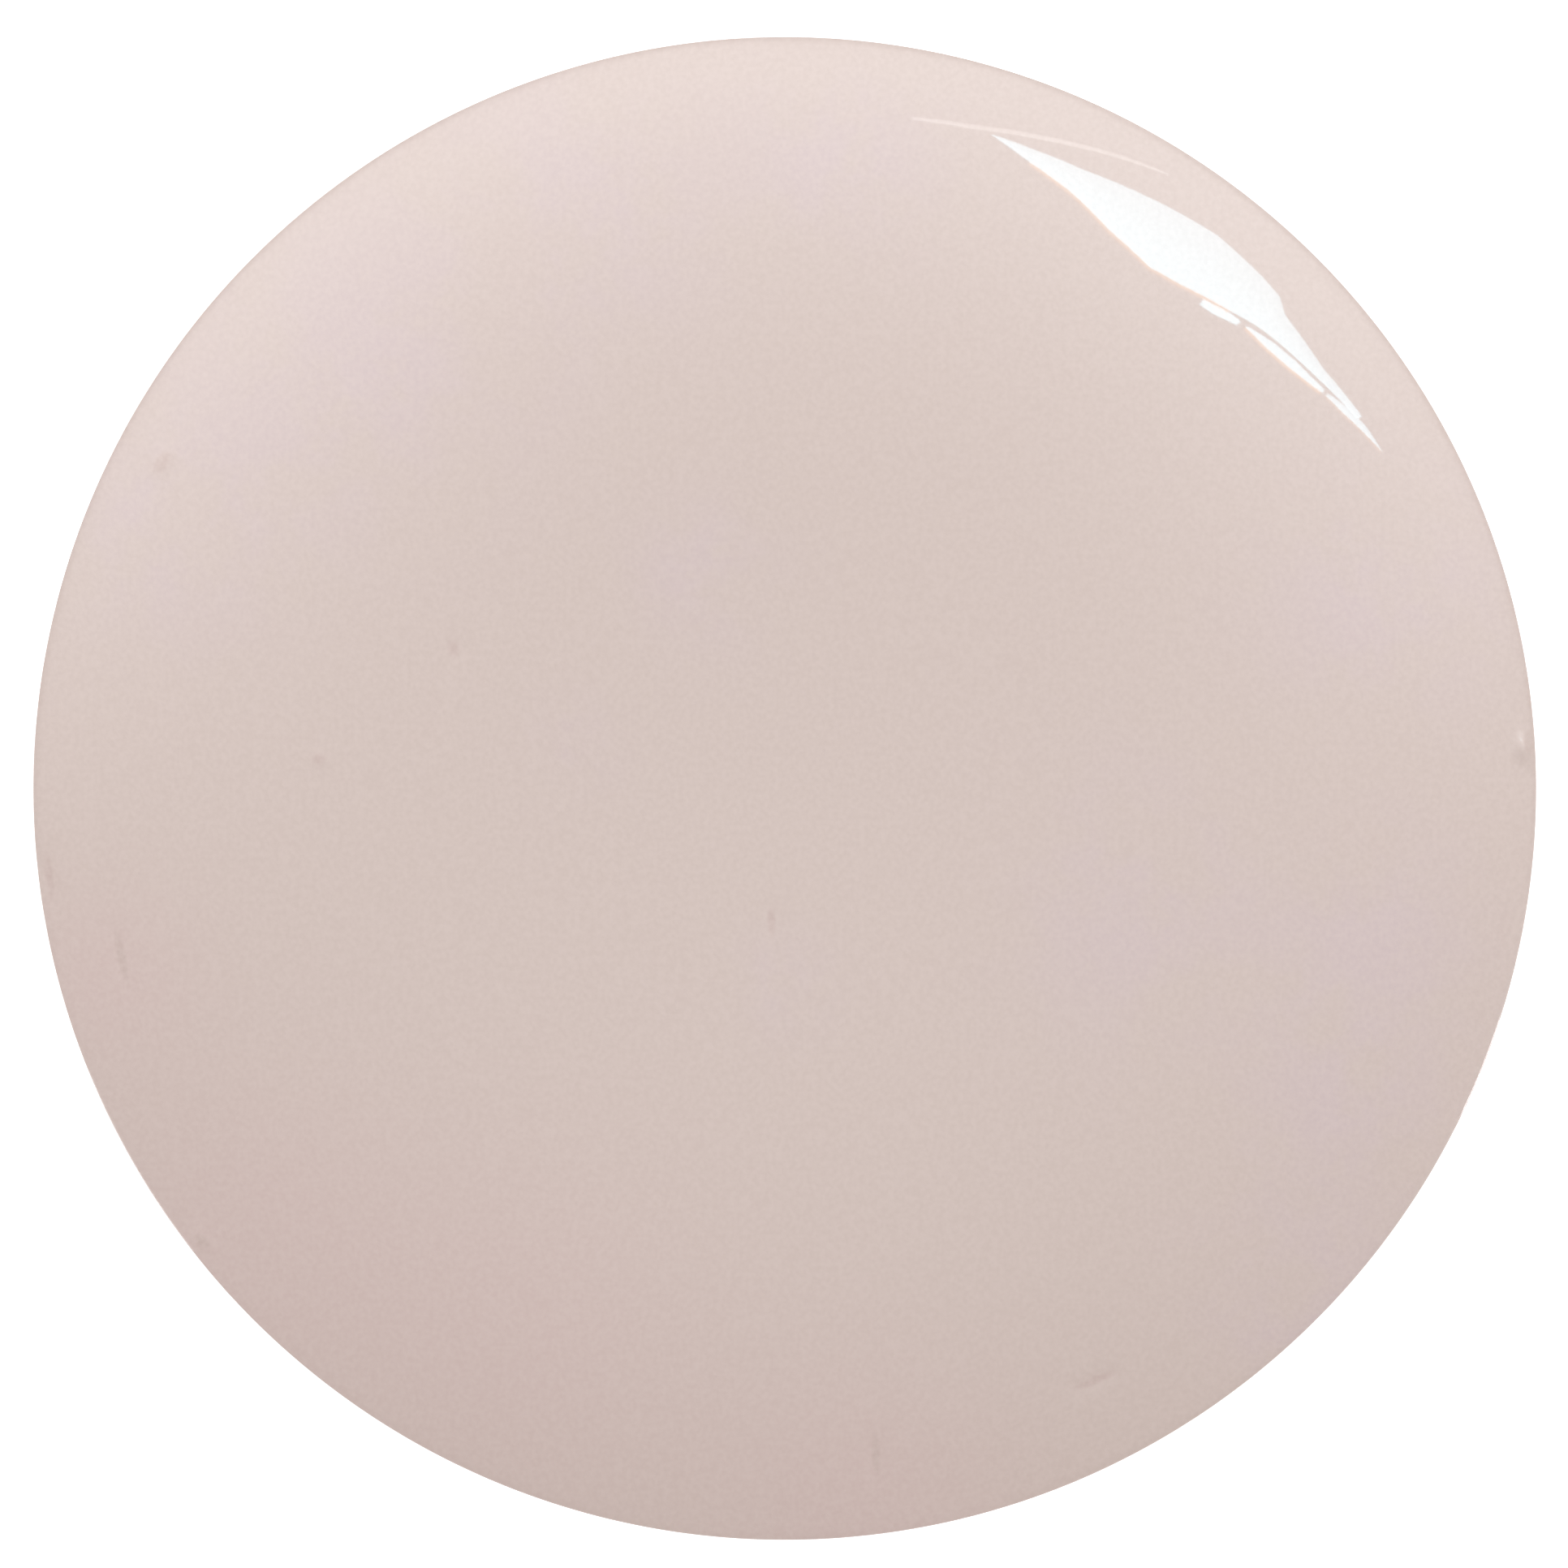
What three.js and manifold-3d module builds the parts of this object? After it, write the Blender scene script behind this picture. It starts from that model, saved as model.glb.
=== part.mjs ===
// A round nail polish bottle: flint glass, a brush on a screw cap, a pull-off overcap, and on its top a domed pool
// of the polish itself. Millimetres, +Z up. The origin is the centre of the base, on the surface it stands on.
import * as THREE from "three";
import { mergeVertices } from "three/addons/utils/BufferGeometryUtils.js";
import Module from "manifold-3d";

const wasm = await Module();
wasm.setup();

// ---- Driving dimensions ----

const BODY_RADIUS = 17; // the glass, the overcap and the dome share one outer radius
const FIT = 0.1; // gap between pieces that touch
const SLIDE = 0.3; // gap between pieces that slide or turn on each other

const GLASS_WALL = 2.4;
const BASE_THICKNESS = 5.6;
const PUSH_UP = 1; // depth of the recess under the base
const PUSH_UP_RADIUS = 11.5;
const HEEL_RADIUS = 2.5;
const SHOULDER_HEIGHT = 36;
const SHOULDER_RADIUS = 2;
const BEAD_RADIUS = 7.3; // ring at the foot of the neck
const BEAD_HEIGHT = 1.7;
const NECK_RADIUS = 6.4;
const NECK_BORE = 4.2;
const NECK_HEIGHT = 14;

const THREAD_PITCH = 25.4 / 12; // twelve turns to the inch, as on a 15 mm neck finish
const NECK_THREAD_TURNS = 1.25;
const CAP_THREAD_TURNS = 0.75;
const NECK_THREAD_START = 9.4; // height of the neck thread's lower end above the shoulder
const NECK_THREAD_ROUND = 0.8; // radius of the glass ridge
const CAP_THREAD_ROUND = 0.58; // radius of the cap's ridge
const CAP_BORE = 7.5;

const FILL_HEIGHT = 30; // top of the polish
const BALL_RADIUS = 2;
const BALL_ORBIT = 9; // how far from the axis the mixing balls lie
const BALL_ANGLES = [215, 245];

const COLLAR_THICKNESS = 1.4;
const COLLAR_RADIUS = 16.2;

const STEM_RADIUS = 1.9;
const STEM_END = 23; // height of the stem's lower end at rest
const STEM_PLUG_RADIUS = 2.4;
const STEM_PLUG_LENGTH = 6;
const FLANGE_RADIUS = 6.2;
const FLANGE_THICKNESS = 1.2;
const SEAL_THICKNESS = 1;
const TUFT_SOCKET = 1.4; // radius of the hole that holds the bristles
const TUFT_SOCKET_DEPTH = 4;
const TUFT_PIVOT = 21.3; // where the bristles start to bend
const TUFT_TIP = 8;

const GRIP_RADIUS = 9.6;
const GRIP_WALL = 0.9;
const GRIP_TOP = 70;
const GRIP_FLUTES = 30;
const FLUTE_DEPTH = 0.28;

const OVERCAP_TOP = 77.4;
const OVERCAP_WALL = 1.6;
const SLEEVE_RADIUS = 11.3; // outside of the liner's sleeve
const WEIGHT_BOTTOM = 66;
const TRAY_THICKNESS = 1.2;
const DOME_EDGE = 0.35; // height of the dome's upright edge
const DOME_RISE = 1.9;
const DOME_POWER = 3.2; // how flat the middle of the dome is: 2 is a parabola

const FINE = 64; // sides of the large round pieces
const MEDIUM = 48;
const SMALL = 32;

// ---- Heights that follow ----

const FLOOR = PUSH_UP + BASE_THICKNESS; // inside floor of the glass
const LIP = SHOULDER_HEIGHT + NECK_HEIGHT;
const COLLAR_BOTTOM = SHOULDER_HEIGHT + FIT;
const COLLAR_TOP = COLLAR_BOTTOM + COLLAR_THICKNESS;
const OVERCAP_BOTTOM = COLLAR_TOP + FIT;
const GRIP_BOTTOM = SHOULDER_HEIGHT + BEAD_HEIGHT + SLIDE;
const SEAL_BOTTOM = LIP + FIT;
const FLANGE_BOTTOM = SEAL_BOTTOM + SEAL_THICKNESS + FIT;
const CORE_CEILING = FLANGE_BOTTOM + FLANGE_THICKNESS + FIT;
const CORE_DECK = CORE_CEILING + 1.5; // top of the closure's deck, round the stem's socket
const CORE_RADIUS = GRIP_RADIUS - GRIP_WALL - FIT;
const SLEEVE_BORE = GRIP_RADIUS + SLIDE;
const OVERCAP_CEILING = OVERCAP_TOP - OVERCAP_WALL;
const OVERCAP_BORE = BODY_RADIUS - OVERCAP_WALL;
const LINER_DECK = OVERCAP_CEILING - 0.2 - 1.8; // underside of the liner's deck
const TAPE_BOTTOM = OVERCAP_TOP + FIT;
const TRAY_BOTTOM = TAPE_BOTTOM + 0.2 + FIT;
const DOME_BOTTOM = TRAY_BOTTOM + TRAY_THICKNESS + FIT;

// ---- Ways to make a shape ----

const radians = THREE.MathUtils.degToRad;

// Points of an arc in the plane of radius and height, from one angle to the other in degrees.
function arc(centreRadius, centreHeight, radius, from, to, steps = 4) {
  return Array.from({ length: steps + 1 }, (_, i) => {
    const angle = radians(from + ((to - from) * i) / steps);
    return [centreRadius + radius * Math.cos(angle), centreHeight + radius * Math.sin(angle)];
  });
}

// A solid turned about +Z. Its outline of [radius, height] runs anticlockwise, and closes on the axis or on itself.
function turned(outline, sides = MEDIUM) {
  const onAxis = outline[0][0] === 0;
  const loop = onAxis ? outline : [...outline, outline[0]];
  const points = loop.map(([radius, height]) => new THREE.Vector2(radius, height));
  return new THREE.LatheGeometry(points, sides).rotateX(Math.PI / 2);
}

function disc(radius, bottom, top, sides = MEDIUM) {
  return turned([[0, bottom], [radius, bottom], [radius, top], [0, top]], sides);
}

function ring(inner, outer, bottom, top, sides = MEDIUM) {
  return turned([[inner, bottom], [outer, bottom], [outer, top], [inner, top]], sides);
}

// A line that climbs round +Z at the thread's pitch.
class Helix extends THREE.Curve {
  constructor(radius, start, turns) {
    super();
    Object.assign(this, { radius, start, turns });
  }
  getPoint(t, target = new THREE.Vector3()) {
    const angle = 2 * Math.PI * this.turns * t;
    const height = this.start + THREAD_PITCH * this.turns * t;
    return target.set(this.radius * Math.cos(angle), this.radius * Math.sin(angle), height);
  }
}

// A round ridge along a helix. Half of it is sunk in the wall that it is joined to.
function threadRidge(radius, start, turns, round) {
  const section = new THREE.Shape(new THREE.EllipseCurve(0, 0, round, round).getPoints(8).slice(0, -1));
  const extrudePath = new Helix(radius, start, turns);
  return new THREE.ExtrudeGeometry(section, { steps: Math.round(28 * turns), extrudePath });
}

function solidOf(geometry) {
  const bare = geometry.clone();
  bare.deleteAttribute("normal");
  bare.deleteAttribute("uv");
  const merged = mergeVertices(bare, 1e-4);
  const vertProperties = merged.attributes.position.array;
  const triVerts = new Uint32Array(merged.index.array);
  return new wasm.Manifold(new wasm.Mesh({ numProp: 3, vertProperties, triVerts }));
}

function geometryOf(solid) {
  const { vertProperties, triVerts } = solid.getMesh();
  const geometry = new THREE.BufferGeometry();
  geometry.setAttribute("position", new THREE.BufferAttribute(vertProperties, 3));
  geometry.setIndex(new THREE.BufferAttribute(triVerts, 1));
  geometry.computeVertexNormals();
  return geometry;
}

function joined(...geometries) {
  return geometryOf(geometries.map(solidOf).reduce((whole, piece) => whole.add(piece)));
}

function cut(geometry, ...tools) {
  return geometryOf(tools.map(solidOf).reduce((rest, tool) => rest.subtract(tool), solidOf(geometry)));
}

// ---- The bottle ----

// One wall from the push-up, round the heel and shoulder, up the neck, over the lip and down the inside.
function glassBottle() {
  const inner = BODY_RADIUS - GLASS_WALL;
  const ceiling = SHOULDER_HEIGHT - GLASS_WALL - 0.2;
  const outline = [
    [0, PUSH_UP],
    [PUSH_UP_RADIUS, PUSH_UP],
    [PUSH_UP_RADIUS + 0.5, 0],
    ...arc(BODY_RADIUS - HEEL_RADIUS, HEEL_RADIUS, HEEL_RADIUS, -90, 0),
    ...arc(BODY_RADIUS - SHOULDER_RADIUS, SHOULDER_HEIGHT - SHOULDER_RADIUS, SHOULDER_RADIUS, 0, 90, 3),
    [BEAD_RADIUS, SHOULDER_HEIGHT],
    [BEAD_RADIUS, SHOULDER_HEIGHT + BEAD_HEIGHT - 0.4],
    [NECK_RADIUS, SHOULDER_HEIGHT + BEAD_HEIGHT],
    ...arc(NECK_RADIUS - 0.7, LIP - 0.7, 0.7, 0, 90, 3),
    ...arc(NECK_BORE + 0.5, LIP - 0.5, 0.5, 90, 180, 2),
    ...arc(NECK_BORE + 1.5, ceiling + 1.5, 1.5, 180, 270, 3),
    ...arc(inner - 3, ceiling - 3, 3, 90, 0, 3),
    ...arc(inner - 4, FLOOR + 4, 4, 0, -90, 4),
    [0, FLOOR],
  ];
  const start = SHOULDER_HEIGHT + NECK_THREAD_START;
  const ridge = threadRidge(NECK_RADIUS, start, NECK_THREAD_TURNS, NECK_THREAD_ROUND);
  return joined(turned(outline, FINE), ridge);
}

function ballCentre(angle) {
  const a = radians(angle);
  return [BALL_ORBIT * Math.cos(a), BALL_ORBIT * Math.sin(a), FLOOR + FIT + BALL_RADIUS];
}

function mixingBall(angle) {
  return new THREE.SphereGeometry(BALL_RADIUS, 16, 12).translate(...ballCentre(angle));
}

// The liquid, with room left in it for the brush and for the balls.
function polishFill() {
  const radius = BODY_RADIUS - GLASS_WALL - FIT;
  const corner = 4;
  const outline = [
    [0, FLOOR + FIT],
    ...arc(radius - corner, FLOOR + FIT + corner, corner, -90, 0, 4),
    [radius, FILL_HEIGHT],
    [0, FILL_HEIGHT],
  ];
  const brushRoom = disc(STEM_RADIUS + 0.4, 0, LIP, SMALL);
  const ballRooms = BALL_ANGLES.map((angle) => {
    const [x, y, z] = ballCentre(angle);
    return disc(BALL_RADIUS + SLIDE, 0, z + BALL_RADIUS + SLIDE, 16).translate(x, y, 0);
  });
  return cut(turned(outline, FINE), brushRoom, ...ballRooms);
}

function baseLabel() {
  return disc(PUSH_UP_RADIUS - 0.7, PUSH_UP - 0.25, PUSH_UP - 0.05, SMALL);
}

function neckCollar() {
  const bore = BEAD_RADIUS + 0.15;
  return turned([
    [bore, COLLAR_BOTTOM],
    [COLLAR_RADIUS - 0.2, COLLAR_BOTTOM],
    [COLLAR_RADIUS, COLLAR_BOTTOM + 0.2],
    [COLLAR_RADIUS, COLLAR_TOP - 0.2],
    [COLLAR_RADIUS - 0.2, COLLAR_TOP],
    [bore, COLLAR_TOP],
  ]);
}

// ---- The brush ----

function sealLiner() {
  return ring(STEM_RADIUS + SLIDE, NECK_RADIUS - 0.1, SEAL_BOTTOM, SEAL_BOTTOM + SEAL_THICKNESS, SMALL);
}

// A rod with a flange over the seal, a plug that the cap holds, and a hole in its lower end for the bristles.
function brushStem() {
  const flangeTop = FLANGE_BOTTOM + FLANGE_THICKNESS;
  const plugTop = flangeTop + STEM_PLUG_LENGTH;
  return turned([
    [0, STEM_END + TUFT_SOCKET_DEPTH],
    [TUFT_SOCKET, STEM_END + TUFT_SOCKET_DEPTH],
    [TUFT_SOCKET, STEM_END],
    [STEM_RADIUS - 0.1, STEM_END],
    [STEM_RADIUS, STEM_END + 0.3],
    [STEM_RADIUS, FLANGE_BOTTOM],
    [FLANGE_RADIUS, FLANGE_BOTTOM],
    [FLANGE_RADIUS, flangeTop],
    [STEM_PLUG_RADIUS, flangeTop],
    [STEM_PLUG_RADIUS, plugTop - 0.5],
    [STEM_PLUG_RADIUS - 0.5, plugTop],
    [0, plugTop],
  ], SMALL);
}

function bristleRoot() {
  return disc(TUFT_SOCKET - FIT, STEM_END, STEM_END + TUFT_SOCKET_DEPTH - 1.1, SMALL);
}

function tuftStaple() {
  const top = STEM_END + TUFT_SOCKET_DEPTH - FIT;
  return new THREE.BoxGeometry(2.2, 0.5, 0.8).translate(0, 0, top - 0.4);
}

// The free bristles: a swelling bundle whose upper end is a ball about the point that it bends at.
function bristleTuft() {
  const root = TUFT_SOCKET - 0.05;
  return turned([
    [0, TUFT_TIP],
    [0.75, TUFT_TIP + 0.25],
    [1.35, TUFT_TIP + 1.2],
    [1.65, TUFT_TIP + 3],
    [1.75, TUFT_TIP + 6.5],
    [1.6, TUFT_PIVOT - 3.5],
    ...arc(0, TUFT_PIVOT, root, 0, 90, 4).slice(0, -1),
    [0, TUFT_PIVOT + root],
  ], SMALL);
}

// ---- The screw cap ----

// The threaded closure: a skirt over the neck, a deck over the flange, and a socket for the stem's plug.
function capCore() {
  const socket = STEM_PLUG_RADIUS + FIT;
  const socketTop = CORE_CEILING + STEM_PLUG_LENGTH + 0.6;
  const outline = [
    [CAP_BORE, GRIP_BOTTOM + 0.2],
    [CORE_RADIUS, GRIP_BOTTOM + 0.2],
    [CORE_RADIUS, CORE_DECK],
    [socket + 1.4, CORE_DECK],
    [socket + 1.4, socketTop],
    [socket, socketTop],
    [socket, CORE_CEILING],
    [CAP_BORE, CORE_CEILING],
  ];
  const start = SHOULDER_HEIGHT + NECK_THREAD_START - THREAD_PITCH / 2;
  const ridge = threadRidge(CAP_BORE, start, CAP_THREAD_TURNS, CAP_THREAD_ROUND);
  return joined(turned(outline), ridge);
}

// The handle: a fluted sleeve, closed at its top, pressed over the closure.
function gripSleeve() {
  const bandTop = GRIP_BOTTOM + 2.4;
  const fluteTop = GRIP_TOP - 2;
  const rim = new THREE.Shape(
    Array.from({ length: GRIP_FLUTES * 4 }, (_, i) => {
      const angle = (2 * Math.PI * i) / (GRIP_FLUTES * 4);
      const radius = GRIP_RADIUS - (FLUTE_DEPTH * (1 - Math.cos(GRIP_FLUTES * angle))) / 2;
      return new THREE.Vector2(radius * Math.cos(angle), radius * Math.sin(angle));
    }),
  );
  const fluted = new THREE.ExtrudeGeometry(rim, { depth: fluteTop - bandTop, bevelEnabled: false });
  const band = disc(GRIP_RADIUS, GRIP_BOTTOM, bandTop);
  const top = turned([
    [0, fluteTop],
    [GRIP_RADIUS, fluteTop],
    [GRIP_RADIUS, GRIP_TOP - 0.8],
    ...arc(GRIP_RADIUS - 0.8, GRIP_TOP - 0.8, 0.8, 0, 90, 2),
    [GRIP_RADIUS - 2, GRIP_TOP],
    [GRIP_RADIUS - 2.6, GRIP_TOP - 0.4],
    [0, GRIP_TOP - 0.4],
  ]);
  const room = disc(GRIP_RADIUS - GRIP_WALL, 0, GRIP_TOP - 1.6);
  return cut(joined(fluted.translate(0, 0, bandTop), band, top), room);
}

// ---- The overcap ----

function overcapBody() {
  return turned([
    [0, OVERCAP_CEILING],
    [OVERCAP_BORE, OVERCAP_CEILING],
    [OVERCAP_BORE, OVERCAP_BOTTOM + 0.3],
    [OVERCAP_BORE + 0.3, OVERCAP_BOTTOM],
    [BODY_RADIUS - 0.4, OVERCAP_BOTTOM],
    [BODY_RADIUS, OVERCAP_BOTTOM + 0.4],
    [BODY_RADIUS, OVERCAP_TOP - 0.15],
    [BODY_RADIUS - 0.15, OVERCAP_TOP],
    [0, OVERCAP_TOP],
  ], FINE);
}

// A sleeve that slides over the grip, its deck under the overcap's top, and six ribs that keep it central.
function overcapLiner() {
  const ribs = 6;
  const ribBottom = OVERCAP_BOTTOM + 4;
  const ribLength = OVERCAP_BORE - SLIDE - SLEEVE_RADIUS + 0.4;
  const sleeve = turned([
    [0, LINER_DECK],
    [SLEEVE_BORE, LINER_DECK],
    [SLEEVE_BORE, OVERCAP_BOTTOM + 1.4],
    [SLEEVE_BORE + 0.3, OVERCAP_BOTTOM + 1],
    [SLEEVE_RADIUS, OVERCAP_BOTTOM + 1],
    [SLEEVE_RADIUS, LINER_DECK],
    [OVERCAP_BORE - 0.2, LINER_DECK],
    [OVERCAP_BORE - 0.2, LINER_DECK + 1.8],
    [0, LINER_DECK + 1.8],
  ]);
  const fins = Array.from({ length: ribs }, (_, i) => {
    const height = WEIGHT_BOTTOM - FIT - ribBottom;
    const fin = new THREE.BoxGeometry(ribLength, 1, height);
    fin.translate(SLEEVE_RADIUS - 0.4 + ribLength / 2, 0, ribBottom + height / 2);
    return fin.rotateZ((2 * Math.PI * (i + 0.5)) / ribs);
  });
  return joined(sleeve, ...fins);
}

function capWeight() {
  return ring(SLEEVE_RADIUS + FIT, OVERCAP_BORE - 0.2, WEIGHT_BOTTOM, LINER_DECK - FIT);
}

// ---- The pool of polish on top ----

function domeTape() {
  return disc(BODY_RADIUS - 1.5, TAPE_BOTTOM, TAPE_BOTTOM + 0.2);
}

function domeTray() {
  return disc(BODY_RADIUS, TRAY_BOTTOM, TRAY_BOTTOM + TRAY_THICKNESS, FINE);
}

// Polish that has levelled to the tray's edge: flat in the middle and steepest at the rim.
function colourDome() {
  const rim = DOME_BOTTOM + DOME_EDGE;
  const stations = [1, 0.96, 0.9, 0.82, 0.72, 0.6, 0.45, 0.25];
  return turned([
    [0, DOME_BOTTOM],
    [BODY_RADIUS - 0.1, DOME_BOTTOM],
    [BODY_RADIUS, DOME_BOTTOM + 0.1],
    ...stations.map((share) => [BODY_RADIUS * share, rim + DOME_RISE * (1 - share ** DOME_POWER)]),
    [0, rim + DOME_RISE],
  ], FINE);
}

// ---- Materials ----

function finish(color, roughness, metalness = 0) {
  return new THREE.MeshStandardMaterial({ color, roughness, metalness });
}

const glass = finish("#eef3f1", 0.03);
const polish = finish("#d6c5be", 0.12);
const lacquer = finish("#d9c6bf", 0.3);
const trim = finish("#d9b9a4", 0.22, 1);
const steel = finish("#b9bbbd", 0.25, 1);
const ivoryPlastic = finish("#efe9e4", 0.35);
const naturalPlastic = finish("#e9e7e2", 0.4);
const nylon = finish("#cdb9b0", 0.45);
const foam = finish("#f3f1ec", 0.8);
const paper = finish("#f4f1ee", 0.75);
const tape = finish("#f6f4f0", 0.6);

// ---- The assembly ----

const bottle = new THREE.Group();

function add(name, geometry, material) {
  const mesh = new THREE.Mesh(geometry, material);
  mesh.name = name;
  bottle.add(mesh);
}

add("glass_bottle", glassBottle(), glass);
add("polish_fill", polishFill(), polish);
BALL_ANGLES.forEach((angle, i) => add(`mixing_ball_${i + 1}`, mixingBall(angle), steel));
add("base_label", baseLabel(), paper);
add("neck_collar", neckCollar(), trim);

add("seal_liner", sealLiner(), foam);
add("brush_stem", brushStem(), naturalPlastic);
add("bristle_root", bristleRoot(), nylon);
add("tuft_staple", tuftStaple(), steel);
add("bristle_tuft", bristleTuft(), nylon);

add("cap_core", capCore(), naturalPlastic);
add("grip_sleeve", gripSleeve(), ivoryPlastic);

add("overcap_body", overcapBody(), lacquer);
add("overcap_liner", overcapLiner(), naturalPlastic);
add("cap_weight", capWeight(), steel);
add("dome_tape", domeTape(), tape);
add("dome_tray", domeTray(), lacquer);
add("colour_dome", colourDome(), polish);

export default bottle;
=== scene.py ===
"""The looks of a round nail polish bottle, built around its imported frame.

Outlines are in millimetres, as (radius, height), and heights are in the frame's own coordinates.
The meshes, the lamps and the camera are in metres.
"""
import math
import random

import bmesh
import bpy
import numpy as np
from mathutils import Matrix, Vector

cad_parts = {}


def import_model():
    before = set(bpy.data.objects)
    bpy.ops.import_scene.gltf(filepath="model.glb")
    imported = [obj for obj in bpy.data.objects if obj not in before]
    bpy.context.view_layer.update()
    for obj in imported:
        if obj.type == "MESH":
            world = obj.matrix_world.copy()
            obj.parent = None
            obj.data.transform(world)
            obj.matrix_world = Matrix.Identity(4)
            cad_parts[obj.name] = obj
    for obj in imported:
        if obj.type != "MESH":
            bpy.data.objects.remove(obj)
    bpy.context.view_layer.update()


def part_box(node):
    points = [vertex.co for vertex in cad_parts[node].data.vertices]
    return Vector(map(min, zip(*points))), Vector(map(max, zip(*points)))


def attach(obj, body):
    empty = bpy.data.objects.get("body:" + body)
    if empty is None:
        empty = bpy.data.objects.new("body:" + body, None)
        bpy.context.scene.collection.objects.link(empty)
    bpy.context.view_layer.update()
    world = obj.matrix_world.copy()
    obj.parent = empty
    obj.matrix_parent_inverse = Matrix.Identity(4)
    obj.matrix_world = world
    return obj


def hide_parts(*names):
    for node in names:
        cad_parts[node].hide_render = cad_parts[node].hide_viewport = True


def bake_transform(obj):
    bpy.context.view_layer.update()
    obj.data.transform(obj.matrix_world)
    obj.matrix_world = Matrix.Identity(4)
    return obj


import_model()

MM = 0.001


def low(node):
    """Height of a CAD node's underside, in millimetres."""
    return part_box(node)[0].z / MM


def high(node):
    """Height of a CAD node's top, in millimetres."""
    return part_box(node)[1].z / MM


def reach(node):
    """Outer radius of a round CAD node, in millimetres."""
    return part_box(node)[1].x / MM


# ---- Sizes that the frame's boxes don't tell, in millimetres ----

GLASS_WALL = 2.4
BASE_THICKNESS = 5.6
PUSH_UP = 1.0
PUSH_UP_RADIUS = 11.5
SHOULDER_HEIGHT = 36.0
BEAD_RADIUS, BEAD_HEIGHT = 7.3, 1.7
NECK_RADIUS, NECK_BORE = 6.4, 4.2
THREAD_PITCH = 25.4 / 12
NECK_THREAD_START, NECK_THREAD_TURNS, NECK_THREAD_ROUND = 45.4, 1.25, 0.8
CAP_THREAD_TURNS, CAP_THREAD_ROUND = 0.75, 0.58
CAP_BORE = 7.5
FLUTES, FLUTE_DEPTH = 30, 0.28
DOME_RISE, DOME_POWER = 1.9, 3.2
TUFT_PIVOT = 21.3

BODY_RADIUS = reach("glass_bottle")
GLASS_BORE = BODY_RADIUS - GLASS_WALL
GLASS_FLOOR = PUSH_UP + BASE_THICKNESS
DOME_EDGE = high("colour_dome") - DOME_RISE


# ---- Mesh tools ----


def smoothstep(x, start, end):
    """0 before start, 1 after end, and a smooth step between them. start may be the larger."""
    t = np.clip((x - start) / (end - start), 0, 1)
    return t * t * (3 - 2 * t)


def mesh_object(name, places, faces, sharp=40):
    """A new object from places in metres. Edges that turn by more than sharp degrees stay sharp."""
    mesh = bpy.data.meshes.new(name)
    mesh.from_pydata([tuple(p) for p in places], [], faces)
    mesh.update()
    mesh.shade_smooth()
    mesh.set_sharp_from_angle(angle=math.radians(sharp))
    made = bpy.data.objects.new(name, mesh)
    bpy.context.scene.collection.objects.link(made)
    return made


def fillet(before, corner, after, radius, steps):
    """The points of a round corner that touches both of its sides."""
    one, two = (before - corner).normalized(), (after - corner).normalized()
    half = math.acos(max(-1.0, min(1.0, one.dot(two)))) / 2
    room = 0.49 * min((before - corner).length, (after - corner).length)
    back = min(radius / math.tan(half), room)
    centre = corner + (one + two).normalized() * (back / math.cos(half))
    first, last = corner + one * back - centre, corner + two * back - centre
    sweep = math.atan2(first.x * last.y - first.y * last.x, first.dot(last))
    turns = [sweep * i / steps for i in range(steps + 1)]
    return [
        (centre.x + first.x * math.cos(t) - first.y * math.sin(t),
         centre.y + first.x * math.sin(t) + first.y * math.cos(t))
        for t in turns
    ]


def rounded(*corners, closed=False, steps=6):
    """An outline from corners of (radius, height) or (radius, height, size of its round)."""
    points = []
    for i, corner in enumerate(corners):
        at = Vector(corner[:2])
        at_end = not closed and i in (0, len(corners) - 1)
        if len(corner) == 2 or at_end:
            points.append(tuple(at))
            continue
        before, after = Vector(corners[i - 1][:2]), Vector(corners[(i + 1) % len(corners)][:2])
        points += fillet(before, at, after, corner[2], steps)
    return points


def divided(points, step, closed=False):
    """The same outline with no stretch longer than step(height), or than step if that is a number."""
    made = []
    ends = points[1:] + points[:1] if closed else points[1:]
    for (r0, z0), (r1, z1) in zip(points, ends):
        longest = step((z0 + z1) / 2) if callable(step) else step
        count = max(1, math.ceil(math.hypot(r1 - r0, z1 - z0) / longest))
        made += [(r0 + (r1 - r0) * i / count, z0 + (z1 - z0) * i / count) for i in range(count)]
    return made if closed else made + [points[-1]]


def lathe(name, outline, sides=192, closed=False, warp=None, sharp=40):
    """A closed mesh turned about the axis from an outline that runs anticlockwise.

    The outline starts and ends on the axis, or is closed on itself.
    warp(radius, height, angle) gives a changed radius and height.
    """
    rows = np.array(outline if closed else outline[1:-1], float)
    angle = np.linspace(0, 2 * math.pi, sides, endpoint=False)
    radius, turn = np.meshgrid(rows[:, 0], angle, indexing="ij")
    height = np.repeat(rows[:, 1:], sides, axis=1)
    if warp:
        radius, height = warp(radius, height, turn)
    places = np.stack([radius * np.cos(turn), radius * np.sin(turn), height], -1).reshape(-1, 3)
    count = len(rows)
    faces = []
    for i in range(count if closed else count - 1):
        a, b = i * sides, (i + 1) % count * sides
        faces += [(a + j, a + (j + 1) % sides, b + (j + 1) % sides, b + j) for j in range(sides)]
    if not closed:
        bottom, top, last = len(places), len(places) + 1, (count - 1) * sides
        poles = [(0, 0, outline[0][1]), (0, 0, outline[-1][1])]
        places = np.vstack([places, poles])
        faces += [(bottom, (j + 1) % sides, j) for j in range(sides)]
        faces += [(top, last + j, last + (j + 1) % sides) for j in range(sides)]
    return mesh_object(name, places * MM, faces, sharp)


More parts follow.
